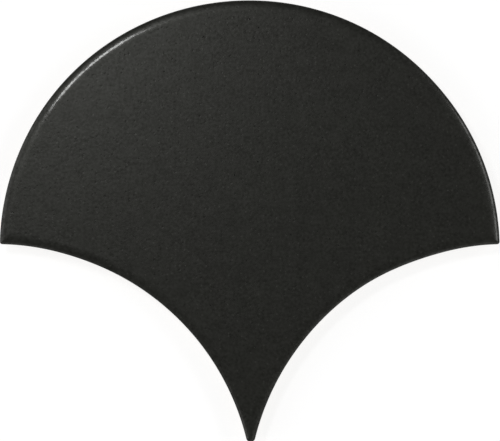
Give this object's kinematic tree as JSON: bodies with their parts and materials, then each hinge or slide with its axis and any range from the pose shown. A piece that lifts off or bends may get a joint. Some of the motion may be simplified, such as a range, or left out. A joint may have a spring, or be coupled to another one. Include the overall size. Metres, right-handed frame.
{
  "type": "fish scale tile",
  "caption": "Fan-shaped ceramic wall tile with a rounded head, two hollowed flanks and a lower tip, a soft cushion edge, a satin black glaze and a keyed back.",
  "frame": {"origin": "centre of the arc of the head, on the plane of the back", "axes": "+X to the right seen from the front, +Y up the wall from the tip to the crown of the head, +Z out of the glazed face; the tile lies on its back"},
  "size_m": [0.12, 0.106, 0.0083],
  "materials": {
    "glazed_tile": "satin"
  },
  "bodies": {
    "root": {"fan_tile": "glazed_tile"}
  },
  "joints": []
}
